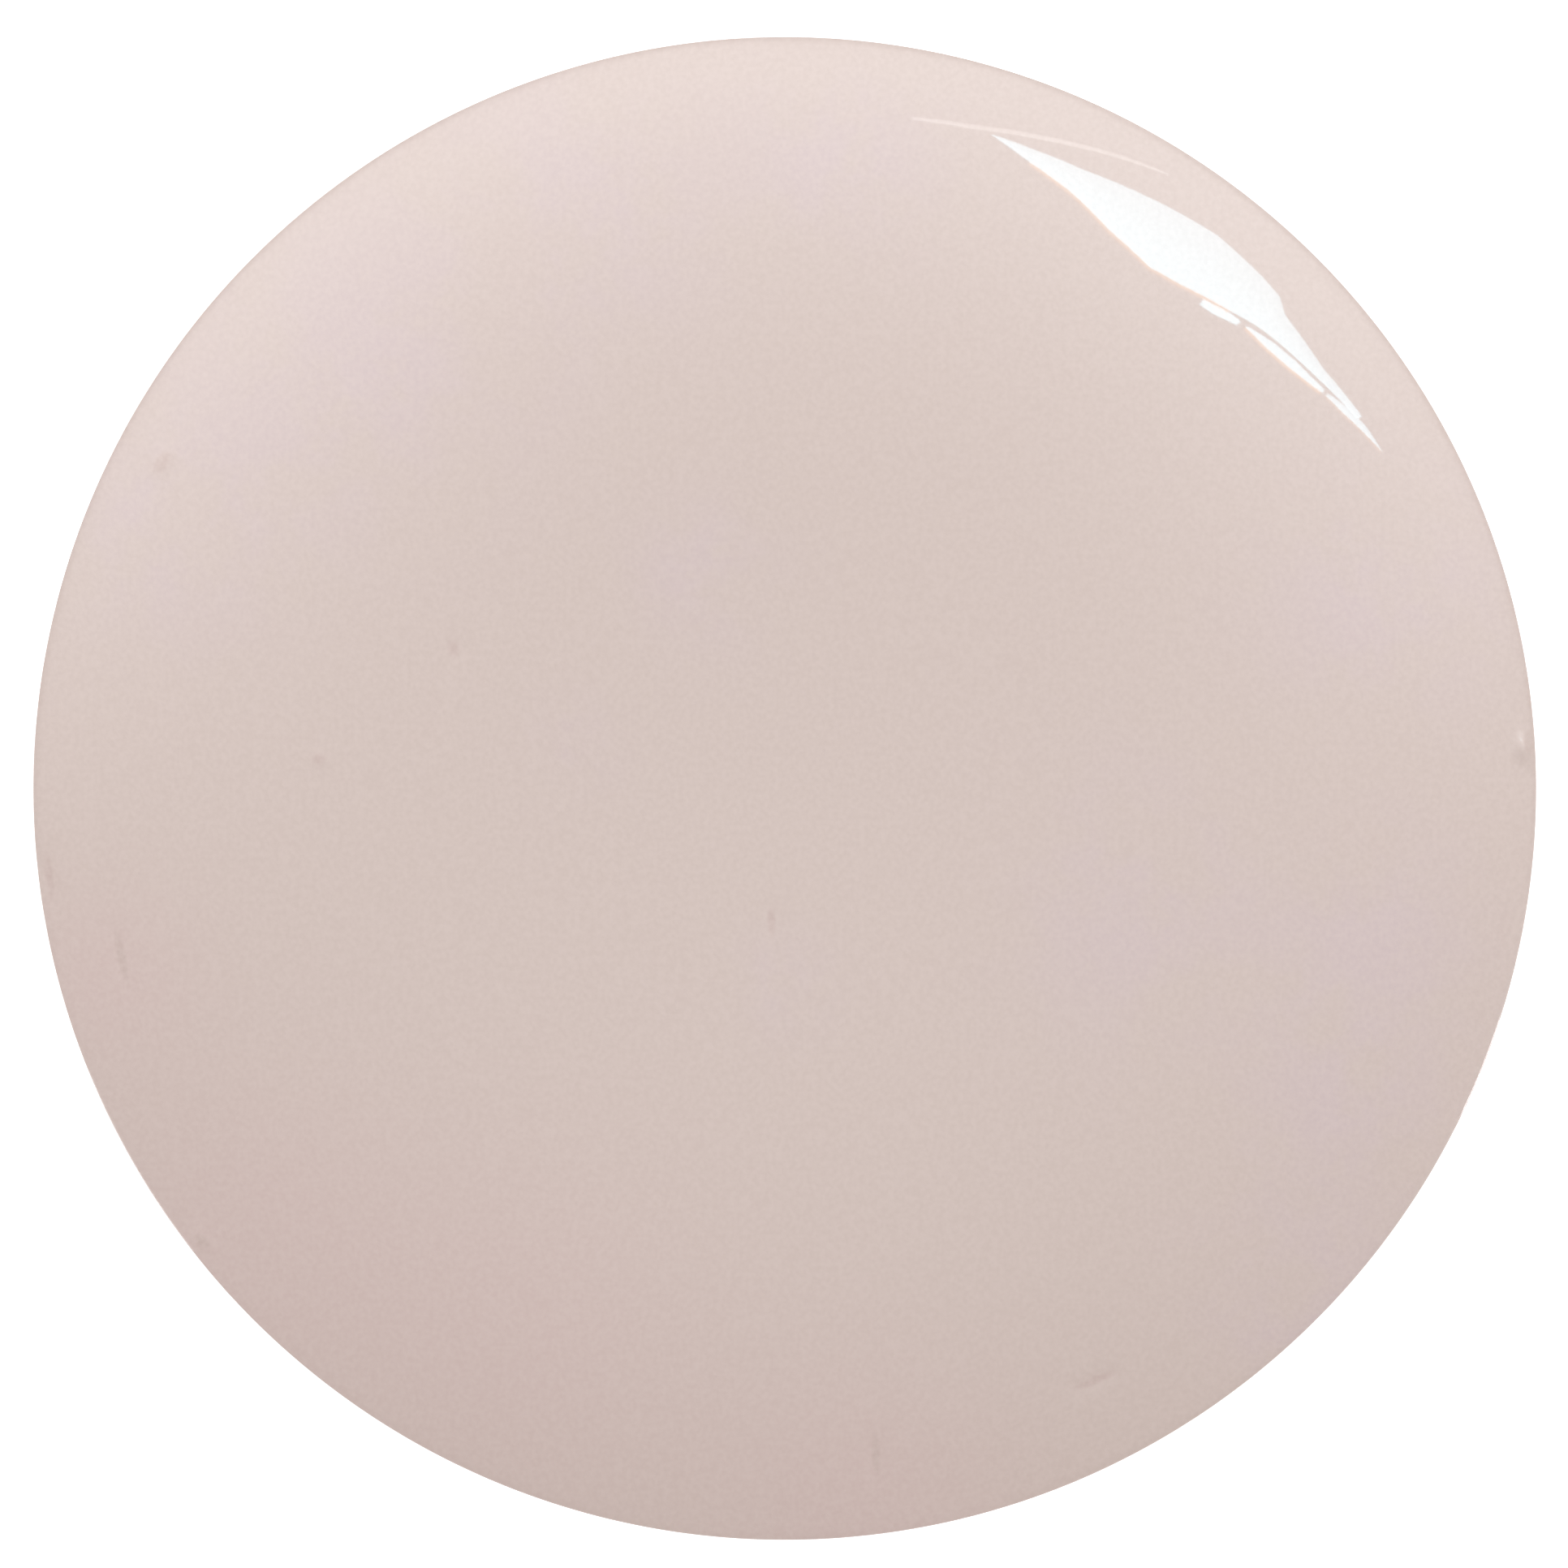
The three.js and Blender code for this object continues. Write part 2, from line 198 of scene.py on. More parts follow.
def thread(radius, height, angle, start, turns, size):
    """How far a thread with a round crest stands out at each place. It starts at +X."""
    stands = np.zeros_like(height)
    for lap in range(math.ceil(turns)):
        turned = angle / (2 * math.pi) + lap
        offset = (height - start - THREAD_PITCH * turned) / size
        ridge = size * np.clip(1 - offset**2, 0, 1)
        ends = smoothstep(turned, 0, 0.06) * smoothstep(turned, turns, turns - 0.06)
        stands = np.maximum(stands, ridge * ends)
    return stands


def rounded_box(name, size, centre, bevel):
    """A box with rounded edges. Its size, centre and bevel are in metres."""
    mesh = bpy.data.meshes.new(name)
    box = bmesh.new()
    bmesh.ops.create_cube(box, size=1)
    bmesh.ops.scale(box, vec=size, verts=box.verts)
    bmesh.ops.bevel(box, geom=box.edges[:], offset=bevel, segments=3, affect="EDGES", profile=0.5)
    bmesh.ops.translate(box, vec=centre, verts=box.verts)
    box.to_mesh(mesh)
    box.free()
    mesh.shade_smooth()
    mesh.set_sharp_from_angle(angle=math.radians(40))
    made = bpy.data.objects.new(name, mesh)
    bpy.context.scene.collection.objects.link(made)
    return made


# ---- Flaws in the pool of polish ----

# Drag marks and specks: the share of the radius and the angle where each lies, then its length,
# its lean from upright, its width and its relief. Angles are in degrees, sizes in millimetres.
DRAG_MARKS = [
    (0.178, 264.2, 0.75, 4, 0.13, -0.02),
    (0.893, 277.8, 1.1, 2, 0.12, -0.022),
    (0.889, 297.7, 1.2, -68, 0.12, -0.02),
    (0.986, 186.8, 1.3, 8, 0.12, -0.018),
    (0.910, 194.3, 1.5, 12, 0.13, -0.014),
    (0.477, 157.2, 0.5, 10, 0.18, -0.012),
    (0.935, 152.3, 0.7, -35, 0.2, 0.014),
    (0.981, 217.9, 0.5, 40, 0.16, 0.02),
    (0.620, 176.4, 0.3, 0, 0.2, 0.012),
]
BUBBLE = (0.984, 3.1, 0.15, 0.09)  # its share of the radius, its angle, its size and its height

# Where the pearl has drifted: each place (x, y) and size is a share of the pool's radius.
DRIFTS = {
    "lilac": [
        (0.47, -0.16, 0.17), (0.79, -0.19, 0.13), (0.79, 0.25, 0.15), (0.75, -0.42, 0.13),
        (-0.55, 0.56, 0.2), (-0.27, 0.76, 0.16), (0.07, 0.83, 0.13), (-0.81, 0.36, 0.15),
        (-0.29, 0.05, 0.06), (-0.11, 0.29, 0.09), (0.0, -0.26, 0.06), (0.68, -0.68, 0.13),
    ],
    "pink": [(-0.35, -0.73, 0.25), (-0.72, -0.6, 0.22), (0.1, -0.95, 0.2), (-0.9, -0.25, 0.12)],
}


# ---- Materials ----


class Paint:
    """A material of one Principled shader, with the nodes that vary it."""

    def __init__(self, name, colour, roughness, **sockets):
        self.material = bpy.data.materials.new(name)
        self.material.use_nodes = True
        self.nodes = self.material.node_tree.nodes
        self.links = self.material.node_tree.links
        self.shader = self.nodes["Principled BSDF"]
        self.coordinates = self.nodes.new("ShaderNodeTexCoord").outputs["Object"]
        self.normal = None
        self.set(base_color=(*colour, 1), roughness=roughness, **sockets)

    def set(self, **sockets):
        """Sets sockets by their names, in lower case with _ for a space."""
        for socket in self.shader.inputs:
            key = socket.name.lower().replace(" ", "_")
            if key in sockets:
                socket.default_value = sockets.pop(key)
        assert not sockets, f"no socket is named {sorted(sockets)}"

    def node(self, kind, **settings):
        """A new shader node with its own settings."""
        made = self.nodes.new("ShaderNode" + kind)
        for key, value in settings.items():
            setattr(made, key, value)
        return made

    def place(self, stretch):
        """The place on the piece, with each axis multiplied by its share of stretch."""
        made = self.node("Mapping")
        made.inputs["Scale"].default_value = stretch
        self.links.new(self.coordinates, made.inputs["Vector"])
        return made.outputs["Vector"]

    def noise(self, size, detail=2.0, stretch=(1, 1, 1), rough=0.5):
        """Soft noise from about 0.3 to 0.7 whose spots are size millimetres across."""
        made = self.node("TexNoise")
        made.inputs["Scale"].default_value = 1 / (size * MM)
        made.inputs["Detail"].default_value = detail
        made.inputs["Roughness"].default_value = rough
        self.links.new(self.place(stretch), made.inputs["Vector"])
        return made.outputs["Fac"]

    def attribute(self, name):
        """A number that the mesh holds at each of its points."""
        return self.node("Attribute", attribute_name=name).outputs["Fac"]

    def ranged(self, value, low_in, high_in, low_out, high_out, smooth=False):
        """The value moved from one range to another, and held at the ends."""
        made = self.node("MapRange", interpolation_type="SMOOTHSTEP" if smooth else "LINEAR")
        for socket, number in zip(made.inputs[1:5], (low_in, high_in, low_out, high_out)):
            socket.default_value = number
        self.links.new(value, made.inputs[0])
        return made.outputs[0]

    def maths(self, operation, one, two=0.0):
        """The operation on two values, each of which is a number or a node's output."""
        made = self.node("Math", operation=operation)
        for socket, value in zip(made.inputs, (one, two)):
            if isinstance(value, (int, float)):
                socket.default_value = value
            else:
                self.links.new(value, socket)
        return made.outputs[0]

    def tint(self, share, colour):
        """Mixes the colour over the base colour so far, by share."""
        made = self.node("Mix", data_type="RGBA")
        socket = self.shader.inputs["Base Color"]
        if socket.is_linked:
            self.links.new(socket.links[0].from_socket, made.inputs[6])
        else:
            made.inputs[6].default_value = socket.default_value
        made.inputs[7].default_value = (*colour, 1)
        self.links.new(share, made.inputs[0])
        self.links.new(made.outputs[2], socket)

    def vary_roughness(self, value):
        """Takes the roughness from a node's output."""
        self.links.new(value, self.shader.inputs["Roughness"])

    def bump(self, height, depth, coat=False):
        """Adds relief of depth millimetres from 0 to 1 of height, to the coat as well if asked."""
        made = self.node("Bump")
        made.inputs["Strength"].default_value = 1.0
        made.inputs["Distance"].default_value = depth * MM
        self.links.new(height, made.inputs["Height"])
        if self.normal:
            self.links.new(self.normal, made.inputs["Normal"])
        self.normal = made.outputs["Normal"]
        self.links.new(self.normal, self.shader.inputs["Normal"])
        if coat:
            self.links.new(self.normal, self.shader.inputs["Coat Normal"])


# What the polish's colour is multiplied by where its pearl drifts, and where it was dragged.
LILAC = (1.0, 0.985, 1.1)
PINK = (1.015, 0.955, 0.985)
DRAGGED = (0.93, 0.885, 0.89)


def tinted(colour, change):
    """The colour with each of its parts multiplied by its share of change."""
    return tuple(c * k for c, k in zip(colour, change))


def drag_marks(paint):
    """How much of a drag mark lies at each place of the pool, from 0 to 1."""
    total = 0
    for share, degrees, length, lean, width, _ in DRAG_MARKS:
        radius, angle = BODY_RADIUS * share * MM, math.radians(degrees)
        place = paint.node("Mapping", vector_type="TEXTURE")
        place.inputs["Location"].default_value = (radius * math.cos(angle), radius * math.sin(angle), 0)
        place.inputs["Rotation"].default_value = (0, 0, math.radians(lean))
        place.inputs["Scale"].default_value = (width * MM, length / 2 * MM, 1)
        paint.links.new(paint.coordinates, place.inputs["Vector"])
        out = paint.node("VectorMath", operation="LENGTH")
        paint.links.new(place.outputs["Vector"], out.inputs[0])
        mark = paint.ranged(out.outputs["Value"], 0.3, 1.1, 1, 0, smooth=True)
        total = paint.maths("MAXIMUM", total, mark)
    return total


def polish_paint(name, colour, coat, least, most, pool=False):
    """Nude polish: a fine pearl grain, and lilac patches from least to most, where pearl drifted."""
    paint = Paint(name, colour, 0.42, coat_weight=coat, coat_roughness=0.02, coat_ior=1.6)
    patches = paint.noise(2.6, detail=5, rough=0.62)
    lilac = paint.ranged(patches, 0.4, 0.62, least, most, smooth=True)
    if pool:
        lilac = paint.maths("MULTIPLY", paint.attribute("lilac"), lilac)
        paint.tint(paint.maths("MULTIPLY", paint.attribute("pink"), 0.75), tinted(colour, PINK))
    paint.tint(lilac, tinted(colour, LILAC))
    if pool:
        paint.tint(drag_marks(paint), tinted(colour, DRAGGED))
    grain = paint.noise(0.12, detail=1.5)
    paint.tint(paint.ranged(grain, 0.3, 0.7, 0, 0.3), tuple(c + 0.11 for c in colour))
    paint.bump(grain, 0.004)
    return paint.material


def lacquer_paint():
    """Satin spray lacquer over moulded plastic, in the polish's colour."""
    paint = Paint("satin_lacquer", (0.57, 0.455, 0.41), 0.34, coat_weight=0.25, coat_roughness=0.22)
    peel = paint.noise(0.9, detail=2)
    grain = paint.noise(0.05, detail=1)
    paint.tint(paint.ranged(grain, 0.3, 0.7, 0, 0.2), (0.68, 0.56, 0.52))
    paint.vary_roughness(paint.ranged(paint.noise(7, detail=4), 0.3, 0.7, 0.3, 0.4))
    paint.bump(peel, 0.012, coat=True)
    paint.bump(grain, 0.002)
    return paint.material


def glass_paint():
    """Flint glass, with the faint waves and the seams that its mould leaves."""
    paint = Paint("flint_glass", (0.985, 0.995, 0.99), 0.0, transmission_weight=1.0, ior=1.52)
    paint.bump(paint.noise(9, detail=2, stretch=(1, 1, 0.35)), 0.03)
    across = paint.node("SeparateXYZ")
    paint.links.new(paint.coordinates, across.inputs[0])
    sideways, depth = (paint.maths("ABSOLUTE", across.outputs[i]) for i in (0, 1))
    near_seam = paint.ranged(depth, 0, 0.22 * MM, 1, 0, smooth=True)
    outer = paint.ranged(sideways, (BODY_RADIUS - 0.8) * MM, (BODY_RADIUS - 0.4) * MM, 0, 1)
    paint.bump(paint.maths("MULTIPLY", near_seam, outer), 0.015)
    return paint.material


def turned_metal(name, colour, roughness, ring=0.16):
    """Metal with the fine rings that a lathe leaves."""
    paint = Paint(name, colour, roughness, metallic=1.0, anisotropic=0.4)
    rings = paint.noise(ring, detail=3, stretch=(0.02, 0.02, 1))
    paint.vary_roughness(paint.ranged(rings, 0.3, 0.7, roughness * 0.8, roughness * 1.35))
    paint.bump(rings, 0.004)
    stains = paint.ranged(paint.noise(3, detail=3), 0.4, 0.7, 0, 0.2)
    paint.tint(stains, tinted(colour, (0.86, 0.86, 0.86)))
    return paint.material


def moulded_plastic(name, colour, roughness, milky=0.0, texture=0.006):
    """Injection-moulded plastic with a fine spark-eroded texture."""
    paint = Paint(
        name,
        colour,
        roughness,
        subsurface_weight=milky,
        subsurface_scale=0.6 * MM,
        subsurface_radius=(1.0, 0.8, 0.6),
    )
    paint.bump(paint.noise(0.14, detail=2), texture)
    handled = paint.noise(2.5, detail=4)
    paint.vary_roughness(paint.ranged(handled, 0.3, 0.7, roughness * 0.85, roughness * 1.2))
    cloudy = paint.ranged(paint.noise(5, detail=3), 0.35, 0.7, 0, 0.25)
    paint.tint(cloudy, tinted(colour, (0.93, 0.93, 0.93)))
    return paint.material


def bristle_paint():
    """Nylon bristles, wet with polish."""
    paint = Paint("wet_bristles", (0.6, 0.47, 0.42), 0.3, coat_weight=0.6, coat_roughness=0.08)
    streaks = paint.noise(0.25, detail=3, stretch=(1, 1, 0.08))
    paint.tint(paint.ranged(streaks, 0.35, 0.65, 0, 0.7), (0.72, 0.6, 0.55))
    paint.bump(streaks, 0.01)
    return paint.material


def foam_paint():
    """Closed-cell foam."""
    paint = Paint("liner_foam", (0.88, 0.87, 0.84), 0.75)
    cells = paint.noise(0.18, detail=2)
    paint.tint(paint.ranged(cells, 0.3, 0.6, 0.4, 0), (0.7, 0.69, 0.66))
    paint.bump(cells, 0.03)
    return paint.material


def paper_paint():
    """Blank uncoated paper: fibres and a little unevenness."""
    paint = Paint("label_paper", (0.9, 0.885, 0.855), 0.82)
    fibres = paint.noise(0.2, detail=5, stretch=(1, 0.25, 1), rough=0.65)
    paint.tint(paint.ranged(fibres, 0.35, 0.7, 0, 0.35), (0.8, 0.78, 0.74))
    paint.bump(fibres, 0.012)
    return paint.material


def tape_paint():
    """A foam tape's pale edge."""
    paint = Paint("mounting_tape", (0.86, 0.85, 0.83), 0.6)
    paint.bump(paint.noise(0.1, detail=2), 0.008)
    return paint.material


GLASS = glass_paint()
# The polish in the bottle is painted lighter than the same polish in the pool: painted light that makes up
# for the light the glass holds back.
FILL_POLISH_PAINTED_LIGHTER = polish_paint("pearl_polish", (0.8, 0.634, 0.572), 0.0, 0, 0.2)
POOL = polish_paint("pearl_polish_pool", (0.61, 0.483, 0.436), 1.0, 0.1, 0.75, pool=True)
LACQUER = lacquer_paint()
TRIM = turned_metal("champagne_trim", (0.8, 0.66, 0.56), 0.24)
STEEL = turned_metal("plain_steel", (0.62, 0.62, 0.61), 0.2)
IVORY = moulded_plastic("ivory_plastic", (0.74, 0.67, 0.61), 0.38, milky=0.1)
NATURAL = moulded_plastic("natural_plastic", (0.73, 0.71, 0.66), 0.36, milky=0.35, texture=0.003)
BRISTLES = bristle_paint()
FOAM = foam_paint()
PAPER = paper_paint()
TAPE = tape_paint()


def finish_piece(piece, body, node, material):
    """Gives a piece its material, and sets it on its body in place of its CAD node."""
    piece.data.materials.append(material)
    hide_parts(node)
    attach(piece, body)
    return piece


# ---- The bottle ----

INNER_WAVE = 0.13  # how uneven the blown inside of the glass is
KNURLS, KNURL_DEPTH = 60, 0.07  # the bars that the glass stands on
INNER_FLOOR_ROUND = 4.0
HAIR_IN_GLASS, HAIR_OF_AIR = 0.04, 0.02  # they keep two pieces' faces out of one plane


def inner_wave(height, angle):
    """How far the inside of the glass strays from round."""
    slow = np.sin(2 * angle + 0.9 + height * 0.05) + 0.5 * np.sin(3 * angle - 0.4 - height * 0.11)
    return INNER_WAVE * slow / 1.5


def warp_glass(radius, height, angle):
    """Adds the blown inside, the neck's thread and the bars under the heel."""
    inside = (radius < GLASS_BORE + 0.1) & (height > GLASS_FLOOR - 0.1) & (height < SHOULDER_HEIGHT - 1)
    share = smoothstep(radius, NECK_BORE + 2, GLASS_BORE) * inside
    radius = radius + share * inner_wave(height, angle)
    on_neck = (np.abs(radius - NECK_RADIUS) < 0.05) & (height > SHOULDER_HEIGHT + BEAD_HEIGHT)
    ridge = thread(radius, height, angle, NECK_THREAD_START, NECK_THREAD_TURNS, NECK_THREAD_ROUND)
    radius = radius + on_neck * ridge
    bars = KNURL_DEPTH * (1 - np.cos(KNURLS * angle)) / 2
    height = height + bars * smoothstep(radius, 12.2, 12.7) * smoothstep(radius, 14.6, 14.1) * (height < 0.05)
    return radius, height


def glass_bottle():
    """The thick bottle, from its recess round the heel and the neck to the floor of its inside."""
    ceiling = SHOULDER_HEIGHT - GLASS_WALL - 0.2
    lip = high("glass_bottle")
    outline = rounded(
        (0, PUSH_UP),
        (PUSH_UP_RADIUS, PUSH_UP, 0.35),
        (PUSH_UP_RADIUS + 0.5, 0, 0.3),
        (BODY_RADIUS, 0, 2.5),
        (BODY_RADIUS, SHOULDER_HEIGHT, 2.0),
        (BEAD_RADIUS, SHOULDER_HEIGHT, 0.3),
        (BEAD_RADIUS, SHOULDER_HEIGHT + BEAD_HEIGHT, 0.5),
        (NECK_RADIUS, SHOULDER_HEIGHT + BEAD_HEIGHT, 0.25),
        (NECK_RADIUS, lip, 0.7),
        (NECK_BORE, lip, 0.5),
        (NECK_BORE, ceiling, 1.5),
        (GLASS_BORE, ceiling, 3.0),
        (GLASS_BORE, GLASS_FLOOR, INNER_FLOOR_ROUND),
        (0, GLASS_FLOOR),
        steps=8,
    )
    thread_top = NECK_THREAD_START + NECK_THREAD_TURNS * THREAD_PITCH + NECK_THREAD_ROUND

    def step(height):
        """Finer along the thread and under the heel."""
        if NECK_THREAD_START - NECK_THREAD_ROUND - 0.3 < height < thread_top + 0.3:
            return 0.12
        return 0.25 if height < 0.05 else 1.0

    piece = lathe("bottle_glass", divided(outline, step), sides=360, warp=warp_glass, sharp=180)
    return finish_piece(piece, "bottle", "glass_bottle", GLASS)


def polish_fill():
    """The liquid, which creeps up the wall. No air shows between it and the glass."""
    creep, creep_width = 0.7, 0.6
    wall, floor_height = GLASS_BORE + HAIR_IN_GLASS, GLASS_FLOOR - HAIR_IN_GLASS
    level = high("polish_fill")
    surface = [(wall - d, level + creep * math.exp(-d / creep_width)) for d in np.linspace(0, 3, 13)]
    corners = rounded((0, floor_height), (wall, floor_height, INNER_FLOOR_ROUND), (wall, level), steps=8)
    outline = divided(corners[:-1] + surface, 1.0) + [(6.0, level), (0, level)]

    def warp(radius, height, angle):
        """Follows the blown glass."""
        share = smoothstep(radius, NECK_BORE + 2, GLASS_BORE)
        return radius + share * inner_wave(height, angle), height

    piece = lathe("polish_liquid", outline, sides=192, warp=warp)
    # its material is the polish painted lighter, as painted light behind the glass
    return finish_piece(piece, "bottle", "polish_fill", FILL_POLISH_PAINTED_LIGHTER)


def mixing_balls():
    """Two steel balls, each turned at the frame's centre and then set in its place."""
    for i in (1, 2):
        lower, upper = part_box(f"mixing_ball_{i}")
        centre, radius = (lower + upper) / 2, (upper.z - lower.z) / 2 / MM
        arc = [(radius * math.sin(t), -radius * math.cos(t)) for t in np.linspace(0, math.pi, 33)]
        arc[0], arc[-1] = (0, -radius), (0, radius)
        piece = lathe(f"steel_ball_{i}", arc, sides=48)
        piece.data.transform(Matrix.Translation(centre))
        finish_piece(piece, f"ball_{i}", f"mixing_ball_{i}", STEEL)


def base_label():
    """Blank paper in the recess. No air shows between it and the glass."""
    bottom, top, radius = low("base_label"), high("base_label") + HAIR_IN_GLASS / 2, reach("base_label")
    outline = rounded((0, bottom), (radius, bottom, 0.04), (radius, top, 0.04), (0, top), steps=3)
    piece = lathe("blank_label", outline, sides=128)
    return finish_piece(piece, "bottle", "base_label", PAPER)


def neck_collar():
    """The ring on the shoulder, with a fine groove turned in its edge."""
    bottom, top, radius = low("neck_collar") + HAIR_OF_AIR, high("neck_collar"), reach("neck_collar")
    bore, middle = BEAD_RADIUS + 0.15, (bottom + top) / 2
    outline = rounded(
        (bore, bottom, 0.1),
        (radius, bottom, 0.18),
        (radius, middle - 0.16, 0.05),
        (radius - 0.14, middle, 0.08),
        (radius, middle + 0.16, 0.05),
        (radius, top, 0.18),
        (bore, top, 0.1),
        closed=True,
        steps=4,
    )
    piece = lathe("collar_ring", outline, sides=256, closed=True)
    return finish_piece(piece, "bottle", "neck_collar", TRIM)


# ---- The brush ----


def seal_liner():
    """The foam washer round the stem."""
    bottom, top, radius, bore = low("seal_liner"), high("seal_liner"), reach("seal_liner"), 2.2
    corners = [(bore, bottom, 0.15), (radius, bottom, 0.2), (radius, top, 0.2), (bore, top, 0.15)]
    outline = rounded(*corners, closed=True, steps=3)
    piece = lathe("foam_seal", outline, sides=96, closed=True)
    return finish_piece(piece, "seal", "seal_liner", FOAM)


def brush_stem():
    """The rod, with the socket of the bristles at its foot and its flange and plug at the top."""
    bottom, top, radius = low("brush_stem"), high("brush_stem"), 1.9
    socket, socket_top = 1.4, bottom + 4.0
    flange, flange_top, plug = 51.2, 52.4, 2.4
    outline = rounded(
        (0, socket_top),
        (socket, socket_top, 0.1),
        (socket, bottom, 0.12),
        (radius, bottom, 0.25),
        (radius, flange, 0.35),
        (reach("brush_stem"), flange, 0.2),
        (reach("brush_stem"), flange_top, 0.2),
        (plug, flange_top, 0.3),
        (plug, top, 0.5),
        (0, top),
        steps=5,
    )
    piece = lathe("stem_rod", divided(outline, 2.0), sides=96)
    return finish_piece(piece, "brush", "brush_stem", NATURAL)


BRISTLE_COUNT = 230
BRISTLE_RADIUS = 0.055
BRISTLE_SIDES = 6
BRISTLE_RINGS = 16
BRISTLE_TURN = 2.39996  # radians from one bristle to the next, which spreads them evenly
SWELL_TOP = TUFT_PIVOT + 1.4  # where the bristles begin to swell


def bristle_path(share, angle, bottom, top, rng):
    """Where one bristle runs: packed in the stem, then swelling, and drawn in again at its wet end."""
    lean, curl = rng.uniform(-0.1, 0.1), rng.uniform(-0.06, 0.06)
    tip = bottom + 1.9 * share**2 + rng.uniform(0, 0.5)
    path = []
    for t in np.linspace(0, 1, BRISTLE_RINGS):
        height = top + (tip - top) * t
        below = max(0.0, (SWELL_TOP - height) / (SWELL_TOP - bottom))
        swell = 0.55 * math.sin(min(1.0, below * 1.35) * math.pi / 2)
        spread = 1.12 + swell - 0.75 * max(0.0, below - 0.62)
        turned = angle + lean * below + curl * math.sin(below * 5)
        path.append((share * spread * math.cos(turned), share * spread * math.sin(turned), height))
    return path


def bristles():
    """The brush's bristles, as one mesh from the tuft's tip to its root."""
    rng = random.Random(4)
    bottom, top = low("bristle_tuft"), high("bristle_root")
    places, faces = [], []
    for i in range(BRISTLE_COUNT):
        share = math.sqrt((i + 0.5) / BRISTLE_COUNT)
        path = bristle_path(share, i * BRISTLE_TURN, bottom, top, rng)
        start = len(places)
        for k, (x, y, z) in enumerate(path):
            size = BRISTLE_RADIUS * (0.55 if k == BRISTLE_RINGS - 1 else 1.0)
            for j in range(BRISTLE_SIDES):
                a = -2 * math.pi * j / BRISTLE_SIDES
                places.append((x + size * math.cos(a), y + size * math.sin(a), z))
        for k in range(BRISTLE_RINGS - 1):
            a, b = start + k * BRISTLE_SIDES, start + (k + 1) * BRISTLE_SIDES
            for j in range(BRISTLE_SIDES):
                n = (j + 1) % BRISTLE_SIDES
                faces.append((a + j, a + n, b + n, b + j))
        faces.append(tuple(start + j for j in reversed(range(BRISTLE_SIDES))))
        last = start + (BRISTLE_RINGS - 1) * BRISTLE_SIDES
        faces.append(tuple(last + j for j in range(BRISTLE_SIDES)))
    piece = mesh_object("bristles", np.array(places) * MM, faces)
    piece.data.materials.append(BRISTLES)
    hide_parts("bristle_tuft", "bristle_root")
    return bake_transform(piece)


def tuft_staple():
    """The flat wire that pins the folded bristles in the stem."""
    lower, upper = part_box("tuft_staple")
    piece = rounded_box("staple_wire", upper - lower, (lower + upper) / 2, 0.12 * MM)
    return finish_piece(piece, "brush", "tuft_staple", STEEL)


# ---- The screw cap ----


def cap_core():
    """The closure, whose thread runs half a pitch below the neck's, with the socket that holds the stem."""
    bottom, top, radius = low("cap_core"), high("cap_core"), reach("cap_core")
    ceiling, deck, socket, rim = 52.5, 54.0, 2.5, 3.9
    start = NECK_THREAD_START - THREAD_PITCH / 2

    def warp(radius, height, angle):
        """Adds the thread to the bore."""
        on_bore = (np.abs(radius - CAP_BORE) < 0.05) & (height < ceiling - 1)
        ridge = thread(radius, height, angle, start, CAP_THREAD_TURNS, CAP_THREAD_ROUND)
        return radius - on_bore * ridge, height

    outline = rounded(
        (CAP_BORE, bottom, 0.2),
        (radius, bottom, 0.2),
        (radius, deck, 0.3),
        (rim, deck, 0.4),
        (rim, top, 0.3),
        (socket, top, 0.3),
        (socket, ceiling, 0.1),
        (CAP_BORE, ceiling, 0.4),
        closed=True,
        steps=4,
    )
    thread_top = start + CAP_THREAD_TURNS * THREAD_PITCH

    def step(height):
        """Finer along the thread."""
        return 0.14 if start - 1 < height < thread_top + 1 else 1.2

    outline = divided(outline, step, closed=True)
    piece = lathe("threaded_closure", outline, sides=192, closed=True, warp=warp)
    return finish_piece(piece, "screw_cap", "cap_core", NATURAL)


def grip_sleeve():
    """The handle, with soft flutes that run out before its plain bands."""
    bottom, top, radius = low("grip_sleeve"), high("grip_sleeve"), reach("grip_sleeve")
    bore, ceiling = radius - 0.9, top - 1.6

    def warp(place, height, angle):
        """Cuts the flutes into the outside."""
        fade = smoothstep(height, bottom + 2.2, bottom + 3.4) * smoothstep(height, top - 1.8, top - 3.2)
        flutes = FLUTE_DEPTH * (1 - np.cos(FLUTES * angle)) / 2
        return place - flutes * fade * (place > radius - 0.05), height

    outline = rounded(
        (0, ceiling),
        (bore, ceiling, 0.5),
        (bore, bottom, 0.2),
        (radius, bottom, 0.3),
        (radius, top, 0.8),
        (radius - 2.2, top, 0.4),
        (radius - 2.8, top - 0.4, 0.4),
        (0, top - 0.4),
        steps=5,
    )
    piece = lathe("fluted_handle", divided(outline, 0.5), sides=360, warp=warp)
    return finish_piece(piece, "screw_cap", "grip_sleeve", IVORY)


# ---- The overcap ----


def overcap_body():
    """The outer cap, with a sharp top edge under the tray."""
    bottom, top, radius = low("overcap_body"), high("overcap_body"), reach("overcap_body")
    bore, ceiling = radius - 1.6, top - 1.6
    outline = rounded(
        (0, ceiling),
        (bore, ceiling, 0.4),
        (bore, bottom, 0.3),
        (radius, bottom, 0.4),
        (radius, top, 0.16),
        (0, top),
        steps=6,
    )
    piece = lathe("outer_cap", divided(outline, 2.0), sides=360)
    return finish_piece(piece, "overcap", "overcap_body", LACQUER)


